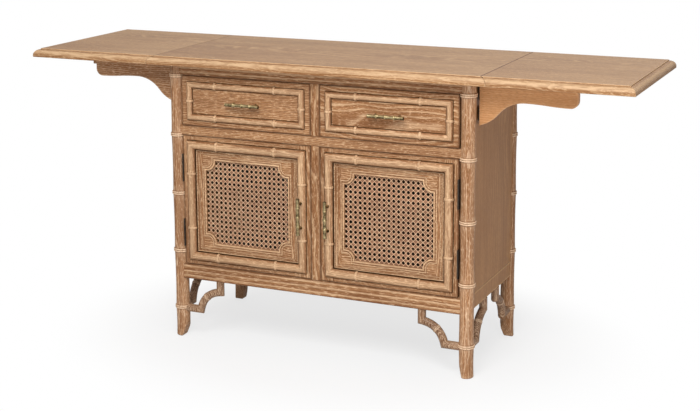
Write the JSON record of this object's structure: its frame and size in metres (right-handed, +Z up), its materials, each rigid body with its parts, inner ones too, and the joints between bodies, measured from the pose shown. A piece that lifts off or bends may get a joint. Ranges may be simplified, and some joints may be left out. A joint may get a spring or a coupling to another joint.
{
  "type": "bar cabinet",
  "caption": "Low bar cabinet with bamboo-style posts, drawers over cane-panel doors, and a long top whose hinged end leaves rest on swing-out brackets.",
  "frame": {"origin": "on the floor, under the centre of the top's outline", "axes": "+X to the right along the length, +Y towards the back, +Z up"},
  "size_m": [1.95, 0.549, 0.914],
  "materials": {
    "limed_oak": "limed, satin",
    "inner_oak": "dark stain, matt",
    "cane": "woven, satin",
    "antique_brass": "aged, satin",
    "dark_steel": "darkened",
    "catch": "matt"
  },
  "bodies": {
    "case": {"back_panel": "inner_oak", "back_rails": "limed_oak", "bottom_board": "inner_oak", "bracket_hinge_plates": "dark_steel", "centre_partition": "inner_oak", "centre_stiles": "limed_oak", "centre_top": "limed_oak", "door_catches": "catch", "door_hinge_plates": "dark_steel", "drawer_guides": "inner_oak", "drawer_runners": "inner_oak", "dust_panel": "inner_oak", "front_bottom_rail": "limed_oak", "front_braces": "limed_oak", "front_middle_rail": "limed_oak", "front_top_rail": "limed_oak", "hinge_pins": "dark_steel", "leaf_hinge_plates": "dark_steel", "post_back_left": "limed_oak", "post_back_right": "limed_oak", "post_front_left": "limed_oak", "post_front_right": "limed_oak", "shelf_pegs": "dark_steel", "shelves": "inner_oak", "side_braces": "limed_oak", "side_lower_rails": "limed_oak", "side_panels": "limed_oak", "side_upper_rails": "limed_oak", "top_cleats": "inner_oak", "top_screws": "dark_steel"},
    "left_drawer": {"drawer_front_left": "limed_oak", "drawer_box_left": "inner_oak", "drawer_moulding_left": "limed_oak", "drawer_pull_left": "antique_brass"},
    "left_door": {"door_frame_left": "limed_oak", "door_panel_left": "limed_oak", "door_cane_left": "cane", "door_moulding_left": "limed_oak", "door_pull_left": "antique_brass", "door_hinge_wings_left": "dark_steel"},
    "left_leaf": {"leaf_left": "limed_oak", "leaf_hinge_wings_left": "dark_steel", "leaf_block_left": "limed_oak"},
    "left_bracket": {"bracket_left": "limed_oak", "bracket_hinge_wings_left": "dark_steel"},
    "right_drawer": {"drawer_front_right": "limed_oak", "drawer_box_right": "inner_oak", "drawer_moulding_right": "limed_oak", "drawer_pull_right": "antique_brass"},
    "right_door": {"door_frame_right": "limed_oak", "door_panel_right": "limed_oak", "door_cane_right": "cane", "door_moulding_right": "limed_oak", "door_pull_right": "antique_brass", "door_hinge_wings_right": "dark_steel"},
    "right_leaf": {"leaf_right": "limed_oak", "leaf_hinge_wings_right": "dark_steel"},
    "right_bracket": {"bracket_right": "limed_oak", "bracket_hinge_wings_right": "dark_steel"}
  },
  "joints": [
    {"name": "left_drawer_slide", "type": "slide", "parent": "case", "child": "left_drawer", "axis": [0, -1, 0], "range_m": [0, 0.3]},
    {"name": "left_door_hinge", "type": "hinge", "parent": "case", "child": "left_door", "pos_m": [-0.45805, -0.2228, 0.4529], "axis": [0, 0, -1], "range_deg": [0, 105]},
    {"name": "left_leaf_hinge", "type": "hinge", "parent": "case", "child": "left_leaf", "pos_m": [-0.5335, 0, 0.8925], "axis": [0, 1, 0], "range_deg": [0, 2]},
    {"name": "left_bracket_swing", "type": "hinge", "parent": "case", "child": "left_bracket", "pos_m": [-0.5013, -0.159, 0.82], "axis": [0, 0, -1], "range_deg": [0, 90]},
    {"name": "right_drawer_slide", "type": "slide", "parent": "case", "child": "right_drawer", "axis": [0, -1, 0], "range_m": [0, 0.3]},
    {"name": "right_door_hinge", "type": "hinge", "parent": "case", "child": "right_door", "pos_m": [0.45805, -0.2228, 0.4529], "axis": [0, 0, 1], "range_deg": [0, 105]},
    {"name": "right_leaf_hinge", "type": "hinge", "parent": "case", "child": "right_leaf", "pos_m": [0.5335, 0, 0.8925], "axis": [0, -1, 0], "range_deg": [0, 2]},
    {"name": "right_bracket_swing", "type": "hinge", "parent": "case", "child": "right_bracket", "pos_m": [0.5013, -0.159, 0.82], "axis": [0, 0, 1], "range_deg": [0, 90]}
  ]
}
